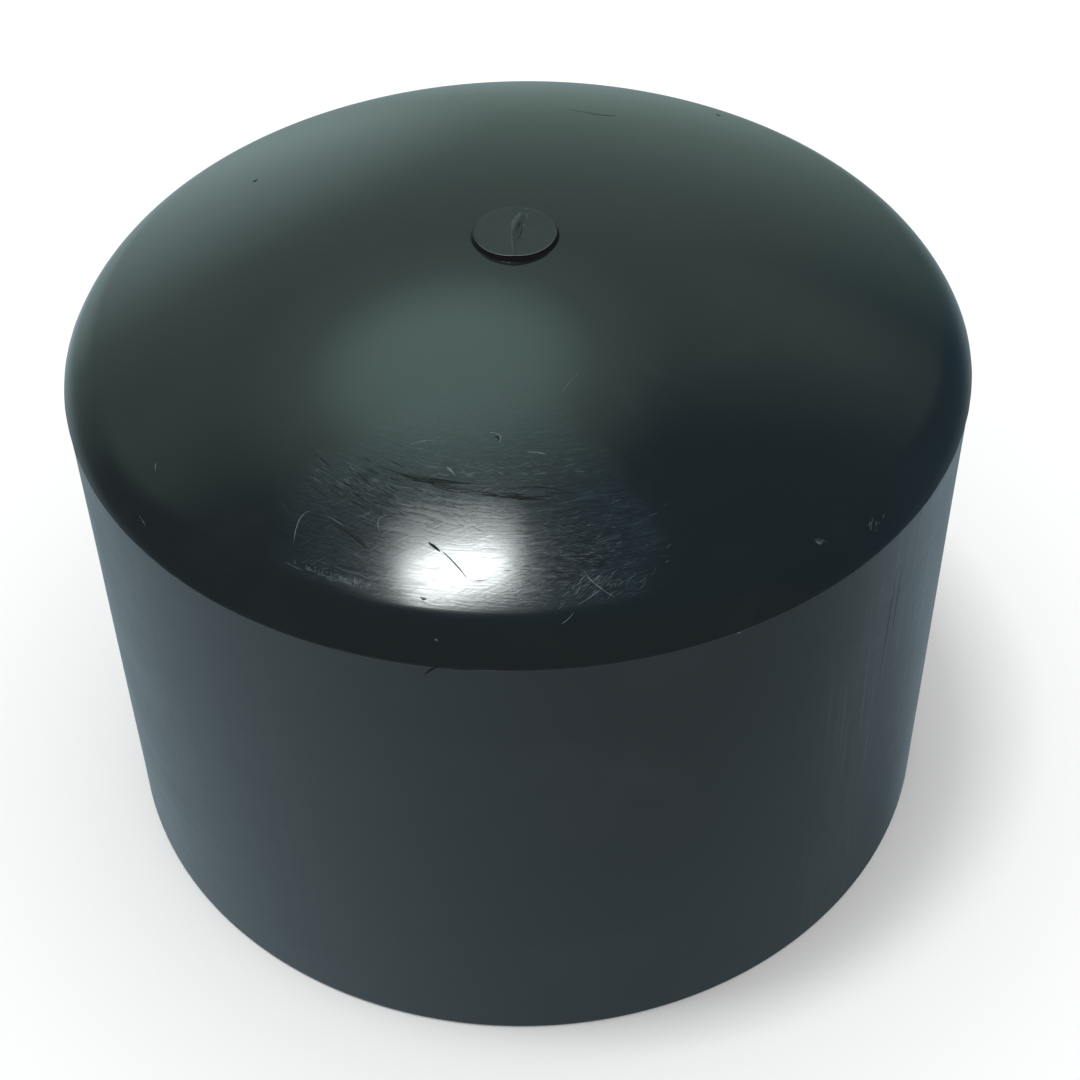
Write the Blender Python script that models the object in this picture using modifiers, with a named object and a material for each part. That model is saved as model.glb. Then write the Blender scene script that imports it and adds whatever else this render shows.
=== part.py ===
"""A butt-fusion end cap for 160 mm polyethylene pressure pipe: one thick injection moulding.

Run with blender --background --python part.py, or from Blender's text editor. Sizes are in metres.
The origin is the centre of the spigot's end face, which is fused to the pipe, and +Z runs up the
axis to the domed head. The trimmed gate's high edge faces -Y.
"""

import math

import bpy
from mathutils import Matrix, Vector

# The spigot, which has the pipe's own diameter and wall
OUTSIDE_DIAMETER = 0.160
WALL = 0.0146
SPIGOT_LENGTH = 0.098  # from the end face to the parting line
BORE_DRAFT = math.radians(0.5)  # the bore narrows upwards, so that the core pulls out
OUTER_EDGE_RADIUS = 0.0006
INNER_EDGE_RADIUS = 0.0005

# The domed head: a shallow crown arc and a tight knuckle arc, tangent to each other
CROWN_RADIUS = 0.1775
KNUCKLE_RADIUS = 0.0133
PARTING_SLOPE = math.radians(63.7)  # how far the head's surface has turned from level at the parting line
PARTING_STEP = 0.00015  # the head's half of the mould stands this far proud of the spigot's
CROWN_WALL = 0.018
INNER_KNUCKLE_RADIUS = 0.020

# The gate's stub, pared off with two strokes of a knife that meet in a ridge
GATE_DIAMETER = 0.0152  # at its foot
STUB_TAPER = math.radians(25)  # how far its side leans inwards
STUB_FRONT_HEIGHT = 0.00105
STUB_BACK_HEIGHT = 0.00095
RIDGE_ANGLE = math.radians(1.5)  # each stroke falls away from the ridge by this much
STUB_ROOT = 0.003  # how deep the stub reaches into the head, to fuse with it

# How finely the round surfaces are stepped
TURN_STEPS = 96
CROWN_STEPS = 12
KNUCKLE_STEPS = 6
INNER_CROWN_STEPS = 9
INNER_KNUCKLE_STEPS = 7
EDGE_STEPS = 2
GATE_STEPS = 48
MERGE_DISTANCE = 0.00001

BLACK_POLYETHYLENE = (0.022, 0.025, 0.025, 1.0)


def arc(centre, radius, start, end, steps):
    """Points (r, z) on an arc. An angle is measured from +Z towards +r."""
    points = []
    for i in range(steps + 1):
        angle = start + (end - start) * i / steps
        points.append((centre[0] + radius * math.sin(angle), centre[1] + radius * math.cos(angle)))
    return points


def head_centres():
    """The crown arc's centre height, on the axis, and the knuckle arc's centre (r, z)."""
    rim = OUTSIDE_DIAMETER / 2 + PARTING_STEP
    knuckle_r = rim - KNUCKLE_RADIUS * math.sin(PARTING_SLOPE)
    knuckle_z = SPIGOT_LENGTH - KNUCKLE_RADIUS * math.cos(PARTING_SLOPE)
    between = CROWN_RADIUS - KNUCKLE_RADIUS
    crown_z = knuckle_z - math.sqrt(between**2 - knuckle_r**2)
    return crown_z, (knuckle_r, knuckle_z)


def outer_profile():
    """From the apex, down the head and the spigot, to the outer edge of the end face."""
    crown_z, knuckle = head_centres()
    turn = math.atan2(knuckle[0], knuckle[1] - crown_z)
    crown = arc((0, crown_z), CROWN_RADIUS, 0, turn, CROWN_STEPS)
    head_knuckle = arc(knuckle, KNUCKLE_RADIUS, turn, PARTING_SLOPE, KNUCKLE_STEPS)
    radius = OUTSIDE_DIAMETER / 2
    edge_centre = (radius - OUTER_EDGE_RADIUS, OUTER_EDGE_RADIUS)
    edge = arc(edge_centre, OUTER_EDGE_RADIUS, math.pi / 2, math.pi, EDGE_STEPS)
    return crown + head_knuckle[1:] + [(radius, SPIGOT_LENGTH)] + edge


def inner_profile():
    """From the end face's inner edge, up the drafted bore and round the inner knuckle, to the axis."""
    mouth = OUTSIDE_DIAMETER / 2 - WALL
    slope = math.tan(BORE_DRAFT)
    crown_z, _ = head_centres()
    crown_radius = CROWN_RADIUS - CROWN_WALL
    # The inner knuckle touches the bore's line and the inner crown's arc, which gives a quadratic in
    # the height of its centre.
    reach = mouth - INNER_KNUCKLE_RADIUS / math.cos(BORE_DRAFT)
    between = crown_radius - INNER_KNUCKLE_RADIUS
    a = 1 + slope**2
    b = -2 * (reach * slope + crown_z)
    c = reach**2 + crown_z**2 - between**2
    knuckle_z = (-b + math.sqrt(b**2 - 4 * a * c)) / (2 * a)
    knuckle_r = reach - slope * knuckle_z
    turn = math.atan2(knuckle_r, knuckle_z - crown_z)
    bore_turn = math.pi / 2 - BORE_DRAFT
    knuckle = arc((knuckle_r, knuckle_z), INNER_KNUCKLE_RADIUS, bore_turn, turn, INNER_KNUCKLE_STEPS)
    crown = arc((0, crown_z), crown_radius, turn, 0, INNER_CROWN_STEPS)
    edge_centre = (mouth + INNER_EDGE_RADIUS, INNER_EDGE_RADIUS)
    edge = arc(edge_centre, INNER_EDGE_RADIUS, math.pi, 3 * math.pi / 2, EDGE_STEPS)
    return edge + knuckle + crown[1:]


def collection(name):
    made = bpy.data.collections.new(name)
    bpy.context.scene.collection.children.link(made)
    return made


def keep_in(obj, holder):
    for old in list(obj.users_collection):
        old.objects.unlink(obj)
    holder.objects.link(obj)
    return obj


def hide_cutter(obj, cutters):
    obj.hide_render = True
    obj.display_type = "WIRE"
    return keep_in(obj, cutters)


def boolean(obj, operation, other):
    modifier = obj.modifiers.new(f"{operation.lower()} {other.name}", "BOOLEAN")
    modifier.operation = operation
    modifier.object = other
    modifier.solver = "EXACT"


def knife_stroke(name, apex_z, side, cutters):
    """A block whose lower face is one stroke's plane. It falls to the back and to its side."""
    size = 4 * GATE_DIAMETER
    bpy.ops.mesh.primitive_cube_add(size=size)
    block = bpy.context.object
    block.name = name
    block.data.transform(Matrix.Translation((0, 0, size / 2)))
    fall = (STUB_FRONT_HEIGHT - STUB_BACK_HEIGHT) / GATE_DIAMETER
    middle_height = (STUB_FRONT_HEIGHT + STUB_BACK_HEIGHT) / 2
    block.location = Vector((0, 0, apex_z + middle_height))
    block.rotation_euler = (-math.atan(fall), side * RIDGE_ANGLE, 0)
    return hide_cutter(block, cutters)


def gate_stub(apex_z, cutters):
    """The short stub that is left where the gate's runner was pared off, before it joins the head."""
    height = STUB_ROOT + 2 * STUB_FRONT_HEIGHT
    foot = GATE_DIAMETER / 2
    lean = math.tan(STUB_TAPER)
    bpy.ops.mesh.primitive_cone_add(
        vertices=GATE_STEPS,
        radius1=foot + STUB_ROOT * lean,
        radius2=foot - 2 * STUB_FRONT_HEIGHT * lean,
        depth=height,
    )
    stub = bpy.context.object
    stub.name = "gate_stub_blank"
    stub.location.z = apex_z - STUB_ROOT + height / 2
    for side, name in ((1, "knife_stroke_right"), (-1, "knife_stroke_left")):
        boolean(stub, "DIFFERENCE", knife_stroke(name, apex_z, side, cutters))
    return hide_cutter(stub, cutters)


def black_polyethylene():
    material = bpy.data.materials.new("black_polyethylene")
    material.use_nodes = True
    shader = material.node_tree.nodes["Principled BSDF"]
    shader.inputs["Base Color"].default_value = BLACK_POLYETHYLENE
    shader.inputs["Roughness"].default_value = 0.35
    shader.inputs["Metallic"].default_value = 0.0
    return material


def cap_body(parts, cutters):
    """The whole cap. It is one moulding, so it is one object: a turned profile with the stub joined on."""
    profile = outer_profile() + inner_profile()
    mesh = bpy.data.meshes.new("cap_body")
    points = [(r, 0, z) for r, z in profile]
    mesh.from_pydata(points, [(i, i + 1) for i in range(len(points) - 1)], [])
    body = bpy.data.objects.new("cap_body", mesh)
    parts.objects.link(body)
    mesh.materials.append(black_polyethylene())
    turn = body.modifiers.new("turn", "SCREW")
    turn.steps = TURN_STEPS
    turn.render_steps = TURN_STEPS
    turn.use_merge_vertices = True
    turn.merge_threshold = MERGE_DISTANCE
    turn.use_smooth_shade = True
    apex_z = profile[0][1]
    boolean(body, "UNION", gate_stub(apex_z, cutters))
    return body


def main():
    for obj in list(bpy.data.objects):
        bpy.data.objects.remove(obj)
    parts = collection("pipe_end_cap")
    cutters = collection("cutters")
    cap_body(parts, cutters)


main()
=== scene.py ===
import math

import bpy
import numpy as np
from mathutils import Matrix, Vector


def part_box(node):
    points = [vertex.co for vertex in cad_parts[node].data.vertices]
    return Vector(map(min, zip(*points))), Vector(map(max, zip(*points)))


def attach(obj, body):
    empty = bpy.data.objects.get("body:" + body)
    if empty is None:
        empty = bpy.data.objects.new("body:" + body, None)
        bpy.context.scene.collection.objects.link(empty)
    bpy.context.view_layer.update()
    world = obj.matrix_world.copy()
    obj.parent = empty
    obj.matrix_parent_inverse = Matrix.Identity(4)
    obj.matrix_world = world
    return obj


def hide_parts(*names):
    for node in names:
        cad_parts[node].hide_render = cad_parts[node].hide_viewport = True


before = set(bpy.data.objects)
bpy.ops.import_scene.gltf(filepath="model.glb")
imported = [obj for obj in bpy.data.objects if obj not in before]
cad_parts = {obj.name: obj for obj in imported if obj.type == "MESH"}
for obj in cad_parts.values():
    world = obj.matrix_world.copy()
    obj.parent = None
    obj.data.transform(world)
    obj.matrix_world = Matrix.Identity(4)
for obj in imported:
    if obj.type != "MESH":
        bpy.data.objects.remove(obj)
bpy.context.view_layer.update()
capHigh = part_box("cap_body")[1]

# Lengths are in metres and angles in degrees unless a note says otherwise. An azimuth is counted
# from the front, -Y, towards +X, and heights are counted up from the spigot's end face.

# The moulding. Its diameter comes from the frame and everything on it follows.
cap = {
    "rimRadius": capHigh.x,  # to the outside of the flash at the parting line
    "spigotLength": 0.098,
    "wall": 0.0146,
    "boreDraft": 0.5,
    "crownRadius": 0.1775,
    "knuckleRadius": 0.0133,
    "partingSlope": 63.7,  # how far the head has turned from level where it meets the spigot
    "crownWall": 0.018,
    "innerKnuckleRadius": 0.020,
    "outerEdge": 0.0006,
    "innerEdge": 0.0005,
    "closeRow": 0.00008,  # how near a sharp edge the next row of points lies
    "azimuthSteps": 480,
    "waviness": 0.00003,  # how far the cooled wall wanders from true
    "waves": (  # turns round the axis, radians per metre along it, phase and weight
        (3, 60, 0.6, 1.0),
        (5, -102, 2.1, 0.7),
        (2, 174, 4.0, 0.5),
    ),
}

# The flash: a thin fin squeezed out between the mould's halves and trimmed by hand
flash = {
    "proud": 0.00015,
    "waves": (  # turns, weight and phase
        (7, 0.5, 0.4),
        (19, 0.3, 1.9),
        (43, 0.3, 4.1),
        (88, 0.22, 2.2),
        (101, 0.15, 5.0),
    ),
    # Its profile: the share of how proud it stands, and the height from the parting line
    "fin": ((0.15, -0.00013), (0.70, -0.00015), (0.97, -0.00021), (0.97, -0.00027), (0.6, -0.00034)),
    "foot": -0.00042,
    "crease": 0.00006,  # how far the groove above it is drawn in
    "creaseHeights": (-0.00005, -0.00010),
    "drawnIn": 0.9,  # how far the head draws in to it, as a share of how proud the fin stands
}

# The pared-off gate on the apex
gate = {
    "radius": 0.0071,  # of the cut face; the side flares from it to the foot
    "footRadius": 0.00758,
    "frontHeight": 0.00087,
    "backHeight": 0.00082,
    "leftLift": 0.00004,  # the cut is higher by this much at the left edge than at the right
    "ridgeFall": 1.6,  # how steeply each stroke falls away from the ridge
    "ridgeX": -0.0002,
    "ridgeBlunt": 0.00025,
    "hollow": 0.00007,  # how deep each stroke dips between the ridge and the edge
    "bead": 0.00006,  # the raised thread beside the front of the ridge
    "tongue": 0.00020,  # the torn flap behind the middle
    "nick": 0.00022,  # the dark dent beside it
    "burr": 0.00009,  # the curled lip along the front edge
    "rootFillet": 0.00005,
}


def smoothStep(low, high, value):
    # 3t^2 - 2t^3, where t goes from 0 at low to 1 at high
    t = np.clip((value - low) / (high - low), 0, 1)
    return t * t * (3 - 2 * t)


def bell(distance, width):
    # exp(-(d / w)^2)
    return np.exp(-((distance / width) ** 2))


def arcRow(centre, radius, start, end, count):
    # Points at centre + radius * (sin a, cos a) for a from start to end, measured from +Z outwards.
    angle = np.linspace(start, end, count)
    return np.stack([centre[0] + radius * np.sin(angle), centre[1] + radius * np.cos(angle)], axis=1)


def lineRow(start, end, count):
    # Evenly spaced points from start to end
    t = np.linspace(0, 1, count)[:, None]
    return np.array(start) * (1 - t) + np.array(end) * t


# The head's two arcs: the knuckle ends at the parting line and the crown is tangent to it
outerRadius = cap["rimRadius"] - flash["proud"]
partingHeight = cap["spigotLength"]
partingSlope = math.radians(cap["partingSlope"])
knuckleR = cap["rimRadius"] - cap["knuckleRadius"] * math.sin(partingSlope)
knuckleZ = partingHeight - cap["knuckleRadius"] * math.cos(partingSlope)
crownZ = knuckleZ - math.sqrt((cap["crownRadius"] - cap["knuckleRadius"]) ** 2 - knuckleR**2)
ringTurn = math.atan2(knuckleR, knuckleZ - crownZ)
ringRadius = cap["crownRadius"] * math.sin(ringTurn)
apexHeight = crownZ + cap["crownRadius"]
innerCrown = cap["crownRadius"] - cap["crownWall"]


def crownHeight(radius):
    # The crown is a sphere: z = centre + sqrt(R^2 - r^2).
    return crownZ + np.sqrt(cap["crownRadius"] ** 2 - radius**2)


def outward(azimuth):
    # The unit vector away from the axis: (sin a, -cos a, 0)
    return np.stack([np.sin(azimuth), -np.cos(azimuth), np.zeros_like(azimuth)], axis=-1)


def headSurface(azimuth, radius):
    # Point and outward normal on the head: the crown's sphere inside the ring, and outside it the
    # knuckle's torus. Both have sin(turn) = (r - centre) / radius and z = centre + radius cos(turn).
    onCrown = radius <= ringRadius
    size = np.where(onCrown, cap["crownRadius"], cap["knuckleRadius"])
    turn = np.arcsin(np.clip((radius - np.where(onCrown, 0, knuckleR)) / size, 0, 1))
    z = np.where(onCrown, crownZ, knuckleZ) + size * np.cos(turn)
    out = outward(azimuth)
    up = np.array([0.0, 0.0, 1.0])
    point = out * radius[..., None] + up * z[..., None]
    normal = out * np.sin(turn)[..., None] + up * np.cos(turn)[..., None]
    return point, normal


def spigotSurface(azimuth, height):
    # Point and outward normal on the spigot's cylinder.
    out = outward(azimuth)
    point = out * outerRadius
    point[..., 2] = height
    return point, out


def closedGrids(name, grids, firstPoles, lastPoles):
    # One mesh from closed forms. Each grid is (rows, columns) of points whose columns wrap round, and
    # each end row is closed by a fan to its pole. With rows running down and columns turning
    # anticlockwise seen from outside the first pole, the faces point outwards.
    parts, rows, columns = grids.shape[:3]
    each = rows * columns + 2
    points = np.concatenate([grids.reshape(parts, -1, 3), firstPoles[:, None], lastPoles[:, None]], axis=1)
    index = np.arange(rows * columns).reshape(rows, columns)
    across = np.roll(index, -1, axis=1)
    quads = np.stack([index[:-1], index[1:], across[1:], across[:-1]], axis=-1).reshape(-1, 4)
    top = np.stack([np.full(columns, rows * columns), index[0], across[0]], axis=-1)
    bottom = np.stack([np.full(columns, rows * columns + 1), across[-1], index[-1]], axis=-1)
    tris = np.concatenate([top, bottom])
    shift = (np.arange(parts) * each)[:, None, None]
    quads = (quads[None] + shift).reshape(-1, 4)
    tris = (tris[None] + shift).reshape(-1, 3)
    mesh = bpy.data.meshes.new(name)
    mesh.vertices.add(parts * each)
    mesh.vertices.foreach_set("co", points.astype(np.float32).ravel())
    mesh.loops.add(quads.size + tris.size)
    mesh.loops.foreach_set("vertex_index", np.concatenate([quads.ravel(), tris.ravel()]).astype(np.int32))
    mesh.polygons.add(len(quads) + len(tris))
    starts = np.concatenate([np.arange(len(quads)) * 4, quads.size + np.arange(len(tris)) * 3])
    mesh.polygons.foreach_set("loop_start", starts.astype(np.int32))
    mesh.update(calc_edges=True)
    mesh.validate()
    mesh.shade_smooth()
    piece = bpy.data.objects.new(name, mesh)
    bpy.context.scene.collection.objects.link(piece)
    return piece


def cutHeight(x, y):
    # The knife's face: a plane that falls from the front edge to the back, less a blunt V away from
    # the ridge and a half sine for each stroke's hollow, plus bell curves for the bead, the tongue
    # and the nick.
    radius = gate["radius"]
    t = (y + radius) / (2 * radius)
    fall = gate["frontHeight"] + (gate["backHeight"] - gate["frontHeight"]) * t
    side = gate["leftLift"] * (-x / radius) * 0.5
    away = x - gate["ridgeX"]
    ridge = -np.sqrt(away**2 + gate["ridgeBlunt"] ** 2) * math.tan(math.radians(gate["ridgeFall"]))
    hollow = -gate["hollow"] * np.sin(np.clip(np.abs(away) / radius, 0, 1) * math.pi) * (1 - 0.4 * t)
    bead = gate["bead"] * bell(away + 0.0002, 0.00030) * smoothStep(0.0030, -0.0010, y)
    tongue = bell(x - 0.0002 - 0.22 * (y - 0.0010), 0.0007) * bell(y - 0.0024, 0.0022)
    nick = bell(x - 0.0010, 0.0006) * smoothStep(-0.0032, 0.0012, y) * smoothStep(0.0022, 0.0012, y)
    tear = gate["tongue"] * tongue - gate["nick"] * nick
    return apexHeight + fall + side + ridge + hollow + bead + tear


def roundRow(azimuth, radius, height):
    # One row of points as (radius, height) at each azimuth
    return np.stack([np.broadcast_to(radius, azimuth.shape), np.broadcast_to(height, azimuth.shape)], axis=-1)


def gateRows(azimuth):
    # Over the cut face, round its burred lip, down the flared side and out over a small fillet
    x, y = np.sin(azimuth), -np.cos(azimuth)
    radius, foot, burr, reach = (gate[name] for name in ("radius", "footRadius", "burr", "rootFillet"))
    edge = cutHeight(radius * x, radius * y)
    root = crownHeight(foot)
    front = smoothStep(-0.5, 0.2, np.cos(azimuth))
    face = []
    for r in np.append(np.linspace(0.04, 0.92, 23), (0.96, 0.985)) * radius:
        z = cutHeight(r * x, r * y) + burr * 0.25 * front * smoothStep(0.9, 1.0, r / radius)
        face.append(roundRow(azimuth, r, z))
    lip = []
    for out, up in ((-0.00005, 0.55), (0.00002, 0.95), (0.00009, 0.90), (0.00012, 0.45), (0.00008, -0.3)):
        z = edge + burr * up * (0.2 + 0.8 * front)
        lip.append(roundRow(azimuth, radius + out * (0.3 + 0.7 * front), z))
    side = []
    for t in (0.15, 0.4, 0.65, 0.9):
        r = radius + (foot - radius) * t + 0.00004 * math.sin(math.pi * t)
        side.append(roundRow(azimuth, r, root + reach + (edge - root - reach - burr * 0.4) * (1 - t)))
    fillet = []
    for turn in np.linspace(0, math.pi / 2, 4):
        r = foot + reach * (1 - math.cos(turn))
        fillet.append(roundRow(azimuth, r, crownHeight(r) + reach * (1 - math.sin(turn))))
    return face + lip[:3], lip[3:] + side + fillet[:2], fillet[2:]


def headRows():
    # The crown's arc from just outside the gate, then the knuckle's arc down to the parting line,
    # where it draws in to the crease. The last two rows are close, so that the sharp edge's shading
    # doesn't spread up the head.
    start = math.asin((gate["footRadius"] + gate["rootFillet"] * 3) / cap["crownRadius"])
    crown = arcRow((0, crownZ), cap["crownRadius"], start, ringTurn, 34)
    centre, radius = (knuckleR, knuckleZ), cap["knuckleRadius"]
    knuckle = arcRow(centre, radius, ringTurn, partingSlope - 0.003, 20)[1:]
    knuckle = np.concatenate([knuckle, arcRow(centre, radius, partingSlope, partingSlope, 1)])
    drawnIn = flash["proud"] * flash["drawnIn"]
    knuckle[:, 0] -= drawnIn * smoothStep(0, 1, np.linspace(0, 1, len(knuckle)))
    return crown, knuckle


def flashRows(azimuth, headEnd):
    # Down the crease under the head and round the fin, whose edge wanders as a sum of sine waves
    wander = sum(weight * np.sin(azimuth * turns + phase) for turns, weight, phase in flash["waves"])
    proud = flash["proud"] * np.clip(0.72 + 0.25 * wander, 0.25, 1.0)
    crease = [
        roundRow(azimuth, headEnd[0] - flash["crease"], headEnd[1] + height)
        for height in flash["creaseHeights"]
    ]
    fin = [
        roundRow(azimuth, outerRadius + proud * share, partingHeight + height)
        for share, height in flash["fin"]
    ]
    return crease, fin


def spigotRows():
    # Down the spigot, round its outer edge, over the end face and round the inner edge
    top, foot, close = partingHeight + flash["foot"], cap["outerEdge"], cap["closeRow"]
    side = lineRow((outerRadius, top - close), (outerRadius, foot + close), 24)
    side = np.concatenate([[(outerRadius, top)], side, [(outerRadius, foot)]])
    outerStart = outerRadius - cap["outerEdge"]
    outerEdge = arcRow((outerStart, cap["outerEdge"]), cap["outerEdge"], math.pi / 2, math.pi, 7)
    innerStart = outerRadius - cap["wall"] + cap["innerEdge"]
    endFace = lineRow((outerStart, 0), (innerStart, 0), 6)[1:-1]
    innerEdge = arcRow((innerStart, cap["innerEdge"]), cap["innerEdge"], math.pi, 1.5 * math.pi, 6)
    return side, outerEdge[1:], endFace, innerEdge


def boreRows(mouthPoint):
    # Up the drafted bore, round the inner knuckle and under the crown. The knuckle touches both the
    # bore and the inner crown, which gives a quadratic in the height of its centre.
    draft = math.radians(cap["boreDraft"])
    slope = math.tan(draft)
    radius = cap["innerKnuckleRadius"]
    reach = outerRadius - cap["wall"] - radius / math.cos(draft)
    a = 1 + slope**2
    b = -2 * (reach * slope + crownZ)
    c = reach**2 + crownZ**2 - (innerCrown - radius) ** 2
    z = (-b + math.sqrt(b * b - 4 * a * c)) / (2 * a)
    r = reach - slope * z
    turn = math.atan2(r, z - crownZ)
    knuckle = arcRow((r, z), radius, math.pi / 2 - draft, turn, 11)
    bore = lineRow(mouthPoint, knuckle[0], 12)[1:-1]
    dome = arcRow((0, crownZ), innerCrown, turn, math.asin(0.002 / innerCrown), 12)[1:]
    return bore, knuckle, dome


def capRows(azimuth):
    # The whole profile as (radius, height) rows, from the cut face's middle over the head, down the
    # spigot, round the end face and up the bore to the inside of the crown, with each row's finish.
    # Only the gate's and the flash's rows differ from one azimuth to the next.
    cut, pulled, gateFoot = gateRows(azimuth)
    crown, knuckle = headRows()
    crease, fin = flashRows(azimuth, knuckle[-1])
    side, outerEdge, endFace, innerEdge = spigotRows()
    stretches = [
        ("cut", cut),
        ("pulled", pulled),
        ("head", gateFoot),
        ("head", np.concatenate([crown, knuckle])),
        ("head", crease),
        ("spigot", fin),
        ("spigot", np.concatenate([side, outerEdge])),
        ("end", endFace),
        ("inside", np.concatenate([innerEdge, *boreRows(innerEdge[-1])])),
    ]
    rows, finishes = [], []
    for name, stretch in stretches:
        stretch = np.array(stretch)
        if stretch.ndim == 2:  # the same all the way round
            stretch = np.repeat(stretch[:, None, :], len(azimuth), axis=1)
        rows.append(stretch)
        finishes += [list(finishMakers).index(name)] * len(stretch)
    return np.concatenate(rows), np.array(finishes)


def connect(tree, target, value):
    if isinstance(value, Wire):
        tree.links.new(value.socket, target)
    else:
        target.default_value = value


class Wire:
    # A socket in a material's tree. Arithmetic on wires adds Math nodes.
    def __init__(self, tree, socket=None):
        self.tree = tree
        self.socket = socket

    def node(self, kind, settings=None, inputs=None, output=0):
        made = self.tree.nodes.new(kind)
        for name, value in (settings or {}).items():
            setattr(made, name, value)
        for name, value in (inputs or {}).items():
            connect(self.tree, made.inputs[name], value)
        return Wire(self.tree, made.outputs[output])

    def math(self, operation, *values):
        return self.node("ShaderNodeMath", {"operation": operation}, dict(enumerate(values)))

    def __add__(self, other):
        return self.math("ADD", self, other)

    def __radd__(self, other):
        return self.math("ADD", other, self)

    def __sub__(self, other):
        return self.math("SUBTRACT", self, other)

    def __rsub__(self, other):
        return self.math("SUBTRACT", other, self)

    def __mul__(self, other):
        return self.math("MULTIPLY", self, other)

    def __rmul__(self, other):
        return self.math("MULTIPLY", other, self)

    def __truediv__(self, other):
        return self.math("DIVIDE", self, other)

    def __rtruediv__(self, other):
        return self.math("DIVIDE", other, self)

    def __pow__(self, other):
        return self.math("POWER", self, other)

    def absolute(self):
        return self.math("ABSOLUTE", self)

    def atLeast(self, other):
        return self.math("MAXIMUM", self, other)

    def smooth(self, low, high, start=0.0, end=1.0):
        inputs = {"Value": self, "From Min": low, "From Max": high, "To Min": start, "To Max": end}
        return self.node("ShaderNodeMapRange", {"interpolation_type": "SMOOTHSTEP"}, inputs)

    def noise(self, scale, detail=2.0, roughness=0.5, distortion=0.0):
        inputs = {"Vector": self, "Scale": scale, "Detail": detail}
        inputs |= {"Roughness": roughness, "Distortion": distortion}
        return self.node("ShaderNodeTexNoise", None, inputs)

    def mix(self, start, end):
        # From one colour to the other. The Mix node's sockets share their names, so they go by number.
        return self.node("ShaderNodeMix", {"data_type": "RGBA"}, {0: self, 6: start, 7: end}, 2)

    def vector(self, x, y, z):
        return self.node("ShaderNodeCombineXYZ", None, {0: x, 1: y, 2: z})

    def axes(self):
        split = self.node("ShaderNodeSeparateXYZ", None, {0: self})
        return [Wire(self.tree, socket) for socket in split.socket.node.outputs]


class Place:
    # Where a point of the surface is: object coordinates, the distance from the axis, and the
    # direction round it as a sine (east) and a cosine (north), which have no seam.
    def __init__(self, wire):
        self.point = wire.node("ShaderNodeTexCoord", output="Object")
        self.x, self.y, self.z = self.point.axes()
        self.radius = (self.x * self.x + self.y * self.y + 1e-9) ** 0.5
        self.east = self.x / self.radius
        self.north = self.y / self.radius

    def facing(self, azimuth):
        # The cosine of the angle from an azimuth, round the axis
        turn = math.radians(azimuth)
        return self.east * math.sin(turn) - self.north * math.cos(turn)

    def drawn(self, turns, along, detail=3.0, roughness=0.6):
        # Noise drawn out round the axis, and close the other way
        return self.point.vector(self.east * turns, self.north * turns, along).noise(1.0, detail, roughness)


def cosine(angle):
    # For an angle in degrees
    return math.cos(math.radians(angle))


def newMaterial(name):
    material = bpy.data.materials.new(name)
    material.use_nodes = True
    return material, Wire(material.node_tree)


def shade(wire, **sockets):
    # Each keyword is one of the Principled shader's inputs, with _ for a space
    shader = wire.tree.nodes["Principled BSDF"]
    for name, value in sockets.items():
        connect(wire.tree, shader.inputs[name.replace("_", " ")], value)


def plainFinish(name, colour, roughness, gloss):
    material, wire = newMaterial(name)
    shade(wire, Base_Color=colour, Roughness=roughness, Specular_IOR_Level=gloss)
    return material


# Black polyethylene as it comes out of the mould: a polished head, a duller spigot and a knife-cut gate
polyethylene = {
    "black": (0.0070, 0.0095, 0.0105, 1),
    "bloom": (0.018, 0.022, 0.024, 1),  # the dusty film that handling leaves
    "freshCut": (0.016, 0.020, 0.020, 1),
    # painted sheen: a bluish tint standing in for the lamp's light scattered by the rubbed patch
    "paintedScuffSheen": (0.022, 0.042, 0.060, 1),
    "scraped": (0.03, 0.04, 0.045, 1),  # raised burrs turn grey, unevenly, and their pale grey is partly a painted glint
    "scrapedPaleAndGlint": (0.10, 0.125, 0.14, 1),
    "refraction": 1.5,
    "grainDepth": 0.000012,
}


def finishSurface(wire, colour, roughness, height, strength=0.5, depth=1.0):
    # Polyethylene with its grain: height is in grain depths
    bump = {"Strength": strength, "Distance": polyethylene["grainDepth"] * depth, "Height": height}
    normal = wire.node("ShaderNodeBump", None, bump)
    shade(wire, Base_Color=colour, Roughness=roughness, Normal=normal, IOR=polyethylene["refraction"])


# The head took the mould's polish, and its front was rubbed against its neighbours in the crate
head = {
    "roughness": 0.125,
    "scuffAzimuth": -8.0,
    "scuffReach": 35.0,  # how far the rubbed patch fades out to each side of that
    "scuffRadius": 0.0612,
    "scuffWidth": 0.012,
    "scuffRoughness": 0.09,
    "brushedAzimuth": -10.0,
    "brushedRadius": 0.0605,
    "brushedWidth": 0.0065,
    "brushedRoughness": 0.11,
}


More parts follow.
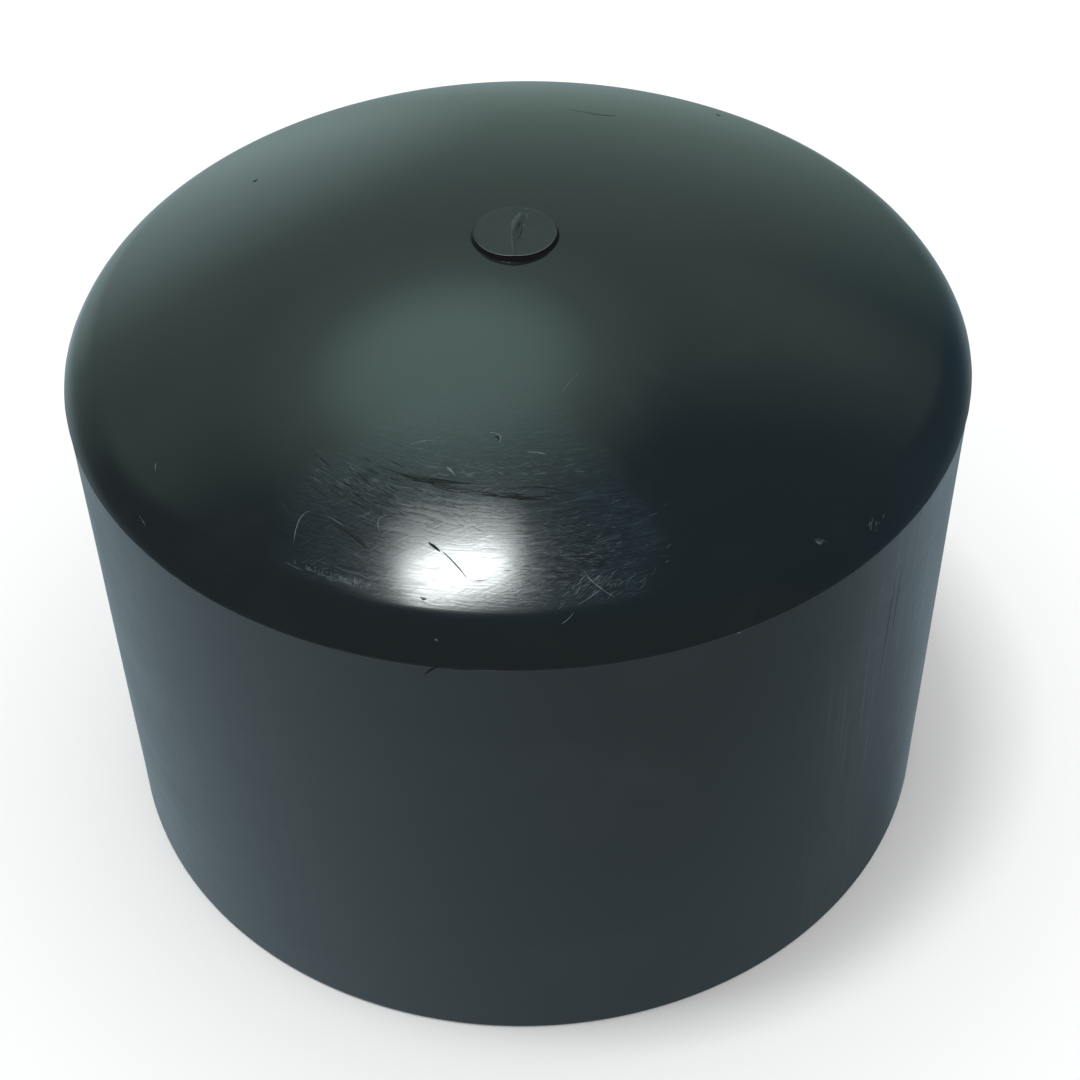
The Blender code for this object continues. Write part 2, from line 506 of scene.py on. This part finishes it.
def polishedHead():
    material, wire = newMaterial("polished_head")
    at = Place(wire)
    rings = at.drawn(1.1, at.radius * 900, 3.0, 0.65)
    broadRings = at.drawn(0.5, at.radius * 170, 2.0, 0.5)
    cloud = at.point.noise(16.0, 3.0, 0.55)
    smudge = at.point.noise(55.0, 4.0, 0.6, 0.5)
    grain = at.point.noise(2400.0, 2.0, 0.5)

    # The rubbed patch: a stretch of a ring round the axis, ragged at its edges, and none of it on
    # the knuckle
    ragged = (at.point.noise(90.0, 4.0, 0.6) - 0.5) * 0.9
    sideways = at.facing(head["scuffAzimuth"]).smooth(cosine(head["scuffReach"]), 1.0)
    band = ((at.radius - head["scuffRadius"]) / head["scuffWidth"]).absolute()
    patch = (sideways * 1.6 + ragged - band * 0.55).smooth(0.0, 0.8)
    patch = patch * at.radius.smooth(ringRadius - 0.0010, ringRadius + 0.0006, 1.0, 0.0)

    # Hairline scratches in it, drawn out along the rubbing, which ran mostly round the axis and a
    # little across it; the thin ones follow where the noise crosses its middle value
    warp = at.point.noise(120.0, 2.0, 0.5)
    hairs = wire.vector(at.east * 8 + warp * 0.3, at.north * 8, at.radius * 2600 + warp * 7)
    hairs = hairs.noise(1.0, 3.0, 0.7)
    across = wire.vector(at.x * 190 + at.y * 70, at.y * 2100 - at.x * 780, at.z * 200)
    across = across.noise(1.0, 3.0, 0.65)
    thin = 1.0 - (hairs - 0.5).absolute().smooth(0.0, 0.035)
    fine = (hairs.smooth(0.54, 0.72) + across.smooth(0.58, 0.74) * 0.7 + thin * 0.5) * patch
    streaks = at.drawn(5, at.radius * 3200, 2.0, 0.6).smooth(0.45, 0.8)

    # Inside it one spot was brushed harder, and spreads the lamp's light into a streaked haze
    toSpot = at.facing(head["brushedAzimuth"]).smooth(cosine(12), cosine(2))
    offSpot = ((at.radius - head["brushedRadius"]) / head["brushedWidth"]).absolute()
    brushed = toSpot * (1.0 - offSpot).smooth(0.0, 0.9) * (hairs.smooth(0.36, 0.62) * 0.75 + 0.25)

    rough = head["roughness"] + (cloud - 0.5) * 0.05 + (smudge - 0.5) * 0.05 + patch * 0.01
    rough = rough + fine * head["scuffRoughness"] + streaks * 0.02 + brushed * head["brushedRoughness"]
    # The film is lighter over the rubbed patch and most on its hairlines: partly dust, partly a painted glint
    # of the lamp on the scratches. The bluish tint mixed in after it is a painted sheen.
    film = smudge.smooth(0.5, 0.8) * 0.22 + patch * 0.10 + fine * 0.40
    colour = film.mix(polyethylene["black"], polyethylene["bloom"])
    colour = (patch * (fine * 0.45 + 0.04)).mix(colour, polyethylene["paintedScuffSheen"])
    height = (rings - 0.5) * 0.35 + (broadRings - 0.5) * 0.9 + (grain - 0.5) * 0.10
    height = height + (hairs - 0.5) * patch * 1.2 + (across - 0.5) * patch * 0.9 + streaks * 0.12
    finishSurface(wire, colour, rough, height)
    return material


# The spigot is duller: it is gripped, turned and stood on, and the mould's own turning marks show
spigotFinish = {
    "roughness": 0.34,
    "dragAzimuth": 50.0,  # the side it was dragged along the crate
    "dragReach": 16.0,
}


def dullSpigot():
    material, wire = newMaterial("dull_spigot")
    at = Place(wire)
    turning = at.drawn(1.6, at.z * 700)
    bands = at.drawn(0.6, at.z * 90, 2.0, 0.5)
    uprights = at.drawn(46, at.z * 5)
    smudge = at.point.noise(48.0, 4.0, 0.6, 0.5)
    grain = at.point.noise(2600.0, 2.0, 0.5)

    # Drag marks run up and down one side
    side = at.facing(spigotFinish["dragAzimuth"]).smooth(cosine(spigotFinish["dragReach"]), 1.0)
    slanted = wire.vector(at.east * 90 + at.z * 40, at.north * 90, at.z * 12).noise(1.0, 4.0, 0.7)
    drag = slanted.smooth(0.5, 0.72) * side

    rough = spigotFinish["roughness"] + (smudge - 0.5) * 0.12 + (turning - 0.5) * 0.08
    rough = rough + (uprights - 0.5) * 0.05 - drag * 0.08
    film = smudge.smooth(0.45, 0.8) * 0.35 + drag * 0.6 + (bands - 0.5) * 0.2
    colour = film.mix(polyethylene["black"], polyethylene["bloom"])
    height = (turning - 0.5) * 0.7 + (bands - 0.5) * 1.5 + (grain - 0.5) * 0.5
    height = height + (slanted - 0.5) * side * 1.2
    finishSurface(wire, colour, rough, height)
    return material


def knifeCut():
    # The pared gate: a drawn, slightly torn face with chatter marks across the stroke
    material, wire = newMaterial("knife_cut")
    at = Place(wire)
    torn = at.point.noise(700.0, 4.0, 0.65, 0.6)
    chatter = wire.vector(at.x * 260, at.y * 2600, 0.0).noise(1.0, 2.0, 0.5)
    pale = torn.smooth(0.45, 0.8) * 0.5 + chatter.smooth(0.5, 0.8) * 0.2
    colour = pale.mix(polyethylene["black"], polyethylene["freshCut"])
    height = (torn - 0.5) * 1.6 + (chatter - 0.5) * 1.1
    finishSurface(wire, colour, 0.33 + (torn - 0.5) * 0.2, height)
    return material


def pulledSide():
    # The gate's side tore free of the runner and never touched a polished wall
    return plainFinish("pulled_side", (0.006, 0.006, 0.007, 1), 0.5, 0.2)


def facedEnd():
    # The end face was planed square, which leaves close rings
    material, wire = newMaterial("faced_end")
    at = Place(wire)
    rings = at.drawn(0.8, at.radius * 1500, 2.0, 0.6)
    smudge = at.point.noise(80.0, 3.0, 0.6)
    colour = smudge.smooth(0.4, 0.8).mix(polyethylene["black"], polyethylene["bloom"])
    finishSurface(wire, colour, 0.42 + (rings - 0.5) * 0.2, rings, 0.7, 1.5)
    return material


def mouldedInside():
    # The core leaves turning marks on the bore, and nothing polishes them away
    material, wire = newMaterial("moulded_inside")
    at = Place(wire)
    turning = at.drawn(1.2, (at.z + at.radius) * 520)
    smudge = at.point.noise(40.0, 3.0, 0.6)
    colour = smudge.smooth(0.4, 0.8).mix(polyethylene["black"], polyethylene["bloom"])
    rough = 0.46 + (turning - 0.5) * 0.15 + (smudge - 0.5) * 0.1
    finishSurface(wire, colour, rough, turning, 0.6, 1.5)
    return material


# Every stretch of the moulding has one of these finishes
finishMakers = {
    "cut": knifeCut,
    "pulled": pulledSide,
    "head": polishedHead,
    "spigot": dullSpigot,
    "end": facedEnd,
    "inside": mouldedInside,
}


def makeCap():
    azimuth = np.arange(cap["azimuthSteps"]) / cap["azimuthSteps"] * 2 * math.pi
    rows, finishes = capRows(azimuth)
    radius, height = rows[..., 0], rows[..., 1]
    # A thick wall never cools quite true: a few slow waves round the axis and along it, and none near
    # the parting line, the end face and the gate
    wave = sum(
        weight * np.sin(turns * azimuth + height * climb + phase)
        for turns, climb, phase, weight in cap["waves"]
    )
    away = smoothStep(0.001, 0.008, np.abs(height - partingHeight))
    away = away * smoothStep(0.001, 0.01, height) * smoothStep(0.009, 0.02, radius)
    radius = radius - cap["waviness"] * (1.4 + wave * 0.6) * away
    points = np.stack([radius * np.sin(azimuth), -radius * np.cos(azimuth), height], axis=-1)
    middle = cutHeight(np.array(0.0), np.array(0.0))
    poles = np.array([[0, 0, middle]]), np.array([[0, 0, crownZ + innerCrown]])
    piece = closedGrids("cap_moulding", points[None], *poles)
    for make in finishMakers.values():
        piece.data.materials.append(make())
    # A band of faces takes its finish from the row above it; the two fans at the poles come last
    bands = np.repeat(finishes[:-1], cap["azimuthSteps"])
    fans = np.repeat([finishes[0], finishes[-1]], cap["azimuthSteps"])
    piece.data.polygons.foreach_set("material_index", np.concatenate([bands, fans]).astype(np.int32))
    print("cap moulding:", len(piece.data.vertices), "points")
    return piece


perMark = (math.radians(1), 0.001)  # marks are given in degrees and millimetres

# Scratches, burrs and wisps, each as (azimuth, radius) or, on the spigot, (azimuth, height) at its
# start, middle and end, then its width and the height it stands
scratches = {
    "paleOnHead": (
        ((-30.6, 70.0), (-31.9, 65.8), (-30.9, 63.8), 0.16, 0.03),
        ((-28.7, 63.8), (-27.0, 64.0), (-25.1, 64.6), 0.10, 0.02),
        ((-19.7, 64.4), (-21.0, 61.9), (-18.7, 60.6), 0.16, 0.03),
        ((-18.9, 60.7), (-17.9, 61.6), (-18.6, 62.8), 0.14, 0.03),
        ((-12.2, 54.8), (-8.0, 56.1), (-3.3, 56.4), 0.16, 0.03),
        ((-13.4, 51.4), (-12.2, 51.9), (-11.2, 52.9), 0.40, 0.04),
        ((-6.3, 44.8), (-5.0, 44.7), (-3.5, 45.5), 0.22, 0.03),
        ((-4.2, 45.2), (-3.9, 45.8), (-4.1, 46.6), 0.26, 0.04),
        ((-21.3, 49.0), (-18.4, 47.5), (-15.9, 47.4), 0.16, 0.02),
        ((1.0, 48.2), (3.0, 48.3), (5.0, 48.9), 0.18, 0.02),
        ((9.5, 38.6), (13.0, 36.0), (17.0, 34.2), 0.12, 0.02),
        ((6.2, 73.3), (8.0, 72.3), (9.9, 71.0), 0.14, 0.03),
        ((7.9, 68.3), (8.6, 70.2), (11.2, 73.3), 0.20, 0.03),
        ((4.0, 75.7), (5.0, 75.1), (5.8, 74.1), 0.12, 0.02),
        ((-12.6, 72.4), (-12.2, 72.6), (-11.8, 72.5), 0.42, 0.05),
        ((-56.5, 71.0), (-55.9, 71.6), (-55.1, 72.1), 0.14, 0.02),
        ((-10.2, 77.6), (-10.0, 77.7), (-9.8, 77.7), 0.30, 0.03),
        ((-52.6, 77.7), (-51.5, 77.9), (-50.4, 78.2), 0.12, 0.02),
    ),
    "darkOnHead": (
        ((-26.1, 64.9), (-23.2, 65.6), (-21.2, 66.9), 0.46, 0.02),
        ((-13.2, 64.0), (-12.2, 64.6), (-11.2, 65.3), 0.50, 0.02),
        ((-11.2, 65.0), (-9.0, 66.9), (-7.1, 69.1), 0.22, 0.02),
        ((-5.2, 45.3), (-4.4, 45.5), (-4.3, 46.0), 0.40, 0.02),
        ((-124.3, 57.3), (-123.7, 57.4), (-123.1, 57.6), 0.75, 0.02),
        ((144.5, 70.0), (144.9, 70.2), (145.4, 70.3), 0.70, 0.02),
        ((163.5, 50.0), (160.0, 50.4), (157.2, 51.5), 0.42, 0.02),
        ((168.0, 51.2), (164.5, 50.6), (161.0, 50.9), 0.24, 0.02),
    ),
    "darkOnSpigot": (
        ((-9.5, 98.0), (-10.2, 97.4), (-11.4, 95.6), 0.46, 0.10),
        ((91.0, 97.9), (91.3, 97.0), (91.2, 96.0), 0.40, 0.10),
    ),
    "paleOnSpigot": (
        ((54.4, 96.5), (54.9, 95.9), (55.1, 94.9), 0.22, 0.05),
        ((53.7, 96.1), (54.1, 95.5), (54.3, 94.8), 0.16, 0.05),
        ((24.0, 97.7), (24.3, 97.4), (24.6, 97.5), 0.35, 0.08),
        ((50.5, 90.0), (50.1, 76.0), (50.0, 61.0), 0.16, 0.02),
        ((51.9, 88.0), (51.5, 80.0), (51.6, 72.0), 0.12, 0.02),
    ),
}

# Patches of fine hairs, laid at random: where each is centred and how far it spreads (azimuth,
# radius), the hairs' slant from the way round, their length, width and number
paleHairs = {
    "leftWisps": {"at": (-26, 57.5), "spread": (8, 3.4), "slant": 12, "long": 3.0, "wide": 0.06, "count": 90},
    "aboveBand": {"at": (-6, 51.8), "spread": (12, 2.4), "slant": 3, "long": 1.8, "wide": 0.06, "count": 110},
    "brush": {"at": (-11, 58.0), "spread": (6, 3.0), "slant": 24, "long": 2.2, "wide": 0.07, "count": 90},
    "dashes": {"at": (7, 65.5), "spread": (8, 4.8), "slant": 1, "long": 1.5, "wide": 0.055, "count": 240},
    "fan": {"at": (8, 70.6), "spread": (6.5, 1.8), "slant": -32, "long": 1.9, "wide": 0.06, "count": 110},
    "fringe": {"at": (-21, 72.0), "spread": (5.5, 0.5), "slant": 84, "long": 0.8, "wide": 0.06, "count": 190},
    "fringeLine": {"at": (-22, 72.3), "spread": (7, 0.4), "slant": 1, "long": 3.0, "wide": 0.06, "count": 34},
    "blotA": {"at": (38.2, 75.3), "spread": (1.2, 0.6), "slant": 20, "long": 1.0, "wide": 0.10, "count": 12},
    "blotB": {"at": (46.1, 77.6), "spread": (1.2, 0.6), "slant": -30, "long": 1.0, "wide": 0.10, "count": 12},
}
darkHairs = {
    "leftBand": {"at": (-14, 54.2), "spread": (6, 0.5), "slant": 2, "long": 9.0, "wide": 0.16, "count": 14},
    "rightBand": {"at": (1, 55.7), "spread": (6, 0.5), "slant": 7, "long": 9.0, "wide": 0.16, "count": 14},
    "leftDark": {"at": (-25, 57), "spread": (7, 3.4), "slant": 12, "long": 3.4, "wide": 0.12, "count": 40},
    "rightDark": {"at": (7, 66), "spread": (7, 4.6), "slant": 1, "long": 2.0, "wide": 0.09, "count": 90},
}


# How the random hairs differ from one another
hairHabits = {
    "gather": 0.55,  # how closely they gather round a patch's middle, as a share of its spread
    "stray": 18,  # degrees by which a hair 1 mm long strays from the slant; a longer one strays less
    "length": (0.4, 1.3),  # least and most, as shares
    "width": (0.6, 1.3),
    "bend": 0.10,
    "flat": 0.2,  # height as a share of width
}


def namedPaths(name):
    paths = np.array([row[:3] for row in scratches[name]]) * perMark
    return paths, np.array([row[3:] for row in scratches[name]]) * 0.001


def randomPaths(patches, seed):
    # Hairs centred at random round each patch's middle, bell-shaped, slanted alike give or take a
    # little, and bent slightly.
    random = np.random.default_rng(seed)
    paths, sizes = [], []
    for patch in patches.values():
        count = patch["count"]
        spread = random.normal(0, hairHabits["gather"], (count, 2)) * patch["spread"]
        middle = np.array(patch["at"]) * perMark + spread * perMark
        stray = hairHabits["stray"] / patch["long"] + 1
        slant = np.radians(patch["slant"] + random.normal(0, stray, count))
        half = patch["long"] * 0.0005 * random.uniform(*hairHabits["length"], count)
        step = np.stack([np.cos(slant) / middle[:, 1], np.sin(slant)], axis=1) * half[:, None]
        bend = np.stack([-np.sin(slant) / middle[:, 1], np.cos(slant)], axis=1) * half[:, None]
        bend = bend * random.normal(0, hairHabits["bend"], count)[:, None]
        paths.append(np.stack([middle - step, middle + bend, middle + step], axis=1))
        wide = patch["wide"] * 0.001 * random.uniform(*hairHabits["width"], count)
        sizes.append(np.stack([wide, wide * hairHabits["flat"]], axis=1))
    return np.concatenate(paths), np.concatenate(sizes)


def makeSlivers(name, paths, sizes, surface, material, stations=9, sides=6):
    # Spindles lying half sunk in a surface along curved paths. A path is a quadratic curve; the
    # half width and the height follow sin(pi t)^0.7 along it.
    t = np.linspace(0, 1, stations + 2)[None, :, None]
    start, middle, end = paths[:, :1], paths[:, 1:2], paths[:, 2:]
    curve = start * (1 - t) ** 2 + (4 * middle - start - end) * t * (1 - t) + end * t**2
    point, normal = surface(curve[..., 0], curve[..., 1])
    along = np.gradient(point, axis=1)
    sideways = np.cross(normal, along)
    sideways = sideways / np.linalg.norm(sideways, axis=-1, keepdims=True)
    share = np.sin(math.pi * t[..., 0]) ** 0.7
    turn = -np.arange(sides) / sides * 2 * math.pi
    wide = (sizes[:, :1] * 0.5 * share)[..., None, None]
    high = (sizes[:, 1:] * share)[..., None, None]
    ring = (
        point[:, :, None]
        + sideways[:, :, None] * np.cos(turn)[:, None] * wide
        + normal[:, :, None] * np.sin(turn)[:, None] * high
    )
    piece = closedGrids(name, ring[:, 1:-1], point[:, 0], point[:, -1])
    piece.data.materials.append(material)
    return piece


def paleBurrAndGlint():
    # Scraped polyethylene turns grey where it is raised, and the pale grey also paints the lamp's glint on
    # each scratch
    material, wire = newMaterial("pale_burr_and_glint")
    patchy = Place(wire).point.noise(900.0).smooth(0.3, 0.7)
    colour = patchy.mix(polyethylene["scraped"], polyethylene["scrapedPaleAndGlint"])
    shade(wire, Base_Color=colour, Roughness=0.38, IOR=polyethylene["refraction"])
    return material


def darkGroove():
    # A cut too rough to shine
    return plainFinish("dark_groove", (0.005, 0.006, 0.007, 1), 0.5, 0.2)


def makeScratches():
    pale, dark = paleBurrAndGlint(), darkGroove()
    made = [
        # The pale pieces' grey is partly scraped plastic and partly painted glints of the lamp
        makeSlivers("scuff_hairs_with_painted_glints", *randomPaths(paleHairs, 11), headSurface, pale, 5, 5),
        makeSlivers("pale_scratches", *namedPaths("paleOnHead"), headSurface, pale),
        makeSlivers("dark_hairs", *randomPaths(darkHairs, 5), headSurface, dark),
        makeSlivers("dark_scratches", *namedPaths("darkOnHead"), headSurface, dark),
        makeSlivers("spigot_flakes", *namedPaths("paleOnSpigot"), spigotSurface, pale),
        makeSlivers("flash_wisps", *namedPaths("darkOnSpigot"), spigotSurface, dark),
    ]
    print("scratches:", sum(len(piece.data.polygons) for piece in made), "faces")
    return made


# What the knife left on the cut face: torn or pressed patches, which shine more or less than the rest and are
# painted lighter as a painted highlight or darker as painted shade, and the burr round its rim, painted pale
# as the highlight its front edge catches. A mark is (x, y) or, on the rim, (azimuth, radius) in mm at its
# start, middle and end, then its width and height. Marks on the face keep off its edge.
gateMarks = {
    # painted highlight: a lighter, glossier copy of the cut's finish over the strip and the torn flap
    "paintedHighlight": {
        "finish": ("painted_highlight_cut", (0.022, 0.028, 0.029, 1), 0.30, 0.60),  # colour, roughness and gloss
        "stations": 12,
        "marks": (
            ((-0.34, -6.6), (-0.53, -2.7), (-0.55, 0.8), 0.34, 0.02),
            ((-0.55, 0.3), (0.25, 3.0), (1.30, 5.7), 1.05, 0.03),
            ((1.20, 4.9), (2.10, 4.7), (2.05, 3.3), 0.36, 0.02),
            ((1.75, 6.2), (2.10, 6.4), (2.50, 6.4), 0.45, 0.03),
        ),
    },
    # painted shade: a darker, duller copy of the cut's finish in and beside the nick
    "paintedShade": {
        "finish": ("painted_shade_cut", (0.010, 0.012, 0.012, 1), 0.38, 0.38),
        "stations": 12,
        "marks": (
            ((0.95, 2.1), (0.75, 0.2), (0.20, -2.9), 0.95, 0.02),
            ((1.30, 1.6), (1.30, 0.6), (0.90, -1.2), 0.50, 0.02),
        ),
    },
    # a real burr, its pale grey a painted highlight along the front edge
    "rim": {
        "finish": ("cut_burr_and_highlight", (0.10, 0.125, 0.13, 1), 0.35, 0.8),
        "stations": 70,
        "marks": (((-84, 7.12), (-4, 7.16), (80, 7.12), 0.13, 0.05),),
    },
    # the burr's left and back, painted a little paler as the faint highlight along that edge
    "backRim": {
        "finish": ("faint_burr_and_highlight", (0.03, 0.036, 0.038, 1), 0.35, 0.6),
        "stations": 50,
        "marks": (((-88, 7.08), (-130, 7.10), (-176, 7.06), 0.09, 0.03),),
    },
}


def gateFace(x, y):
    # Point on the cut face, and straight up for its normal
    point = np.stack([x, y, cutHeight(x, y)], axis=-1)
    return point, np.zeros_like(point) + (0.0, 0.0, 1.0)


def gateRim(azimuth, radius):
    # The lip round the cut face
    point, normal = gateFace(radius * np.sin(azimuth), -radius * np.cos(azimuth))
    point[..., 2] += gate["burr"] * 0.7 * smoothStep(-0.3, 0.6, np.cos(azimuth))
    return point, normal


def makeGateMarks():
    made = []
    for name, mark in gateMarks.items():
        surface, unit = (gateRim, perMark) if name in ("rim", "backRim") else (gateFace, 0.001)
        paths = np.array([row[:3] for row in mark["marks"]]) * unit
        sizes = np.array([row[3:] for row in mark["marks"]]) * 0.001
        finish = plainFinish(*mark["finish"])
        made.append(makeSlivers("gate_" + name, paths, sizes, surface, finish, mark["stations"], 8))
    return made


# The camera stands in front, well above the cap, and looks down at it
camera = {
    "position": (0.0, -0.2924, 0.3337),
    "pitch": 44.434,  # down from level
    "yaw": 0.652,
    "roll": -1.0385,
    "lens": 69.82,  # in millimetres, as is the sensor
    "sensorWidth": 36,
}


def makeCamera():
    pitch, yaw, roll = (math.radians(camera[name]) for name in ("pitch", "yaw", "roll"))
    ahead = Vector((math.sin(yaw) * math.cos(pitch), math.cos(yaw) * math.cos(pitch), -math.sin(pitch)))
    level = Vector((math.cos(yaw), -math.sin(yaw), 0))
    above = level.cross(ahead)
    right = level * math.cos(roll) + above * math.sin(roll)
    up = above * math.cos(roll) - level * math.sin(roll)
    data = bpy.data.cameras.new("camera")
    data.lens = camera["lens"]
    data.sensor_width = camera["sensorWidth"]
    data.clip_start = 0.01
    made = bpy.data.objects.new("camera", data)
    turn = Matrix((right, up, -ahead)).transposed().to_4x4()
    made.matrix_world = Matrix.Translation(camera["position"]) @ turn
    bpy.context.scene.collection.objects.link(made)
    bpy.context.scene.camera = made


# The studio: a pale floor, one small lamp nearly overhead, and a graded surround that only
# reflections see
studio = {
    "floorSize": 30.0,
    "floorDrop": 0.00002,  # keeps it clear of the end face
    "floorColour": (0.90, 0.90, 0.90, 1),
    "lampDirection": (-0.142, -0.030, 0.99),
    "lampDistance": 1.6,
    "lampAim": 0.1,  # the height of the point it faces
    "lampSize": (0.18, 0.34),
    "lampPower": 9.5,
    "lampColour": (0.94, 1.0, 0.99),
    "dark": (0.065, 0.14, 0.20, 1),  # the unlit room, overhead and to the right
    "darkLeft": (0.10, 0.135, 0.15, 1),
    "darkFront": (0.12, 0.145, 0.155, 1),
    "beyond": (0.40, 0.56, 0.50, 1),  # the wall behind the cap
    "tableLeft": (0.52, 0.68, 0.76, 1),
    "tableRight": (0.26, 0.34, 0.38, 1),
    "plain": (0.93, 0.93, 0.93, 1),  # what lights the floor and the cap, reflections apart
    "backdrop": (0.98, 0.98, 0.98, 1),  # what is seen past its edge
}

# Round spots in the surround: which way each lies, how near that way it starts and is full, as
# cosines, and its colour
spots = {
    "spill": ((-0.127, 0.507, 0.853), 0.90, 0.975, (0.60, 0.84, 0.74, 1)),
    "glow": ((-0.127, 0.507, 0.853), 0.955, 0.998, (1.42, 2.10, 1.93, 1)),  # a diffused ceiling lamp
    "skirting": ((-0.42, 0.90, 0.05), 0.90, 1.0, (0.72, 0.98, 0.96, 1)),  # the foot of the wall
    "sheen": ((0.62, 0.42, -0.66), 0.90, 0.99, (0.50, 0.65, 0.74, 1)),
    "shade": ((0.40, 0.30, -0.866), 0.95, 0.995, (0.05, 0.07, 0.08, 1)),
}


def makeFloor():
    half, z = studio["floorSize"] / 2, -studio["floorDrop"]
    mesh = bpy.data.meshes.new("floor")
    corners = [(-half, -half, z), (half, -half, z), (half, half, z), (-half, half, z)]
    mesh.from_pydata(corners, [], [(0, 1, 2, 3)])
    floor = bpy.data.objects.new("floor", mesh)
    bpy.context.scene.collection.objects.link(floor)
    mesh.materials.append(plainFinish("pale_floor", studio["floorColour"], 0.9, 0.2))
    floor.visible_glossy = False  # the surround's lower half stands in for it in reflections


def makeLamp():
    data = bpy.data.lights.new("lamp", "AREA")
    data.shape = "RECTANGLE"
    data.size, data.size_y = studio["lampSize"]
    data.energy = studio["lampPower"]
    data.color = studio["lampColour"]
    away = Vector(studio["lampDirection"]).normalized()
    place = away * studio["lampDistance"] + Vector((0, 0, studio["lampAim"]))
    lamp = bpy.data.objects.new("lamp", data)
    lamp.matrix_world = Matrix.Translation(place) @ away.to_track_quat("Z", "Y").to_matrix().to_4x4()
    lamp.visible_camera = False
    bpy.context.scene.collection.objects.link(lamp)


def addSpot(name, axes, under):
    towards, start, full, colour = spots[name]
    nearness = axes[0] * towards[0] + axes[1] * towards[1] + axes[2] * towards[2]
    return nearness.smooth(start, full).mix(under, colour)


def makeSurround():
    world = bpy.data.worlds.new("studio_surround")
    bpy.context.scene.world = world
    world.use_nodes = True
    wire = Wire(world.node_tree)
    axes = wire.node("ShaderNodeTexCoord", output="Generated").axes()
    x, y, z = axes

    # The upper half: the dark room, and the lit wall and ceiling at the back
    dark = x.smooth(-0.8, 0.0).mix(studio["darkLeft"], studio["dark"])
    dark = y.smooth(-0.7, -0.2).mix(studio["darkFront"], dark)
    level = (x * x + y * y + 1e-6) ** 0.5
    around = ((y * 0.978 - x * 0.208) / level).smooth(0.45, 0.95).atLeast(z.smooth(0.25, 0.62))
    upper = ((y - x * 0.15).smooth(0.25, 0.60) * around).mix(dark, studio["beyond"])
    for name in ("spill", "glow", "skirting"):
        upper = addSpot(name, axes, upper)

    # The lower half: the table
    lower = x.smooth(-0.8, 0.8).mix(studio["tableLeft"], studio["tableRight"])
    for name in ("sheen", "shade"):
        lower = addSpot(name, axes, lower)

    colour = z.smooth(-0.45, -0.05).mix(lower, upper)
    mirrored = wire.node("ShaderNodeLightPath", output="Is Glossy Ray")
    colour = mirrored.mix(studio["plain"], colour)
    seen = wire.node("ShaderNodeLightPath", output="Is Camera Ray")
    colour = seen.mix(colour, studio["backdrop"])
    connect(wire.tree, wire.tree.nodes["Background"].inputs["Color"], colour)


bpy.context.scene.view_settings.view_transform = "Standard"
makeCamera()
makeFloor()
makeSurround()
makeLamp()
print("studio ready")

moulding = makeCap()
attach(moulding, "root")
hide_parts("cap_body")
for piece in makeScratches() + makeGateMarks():
    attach(piece, "root")
print("moulding ready")
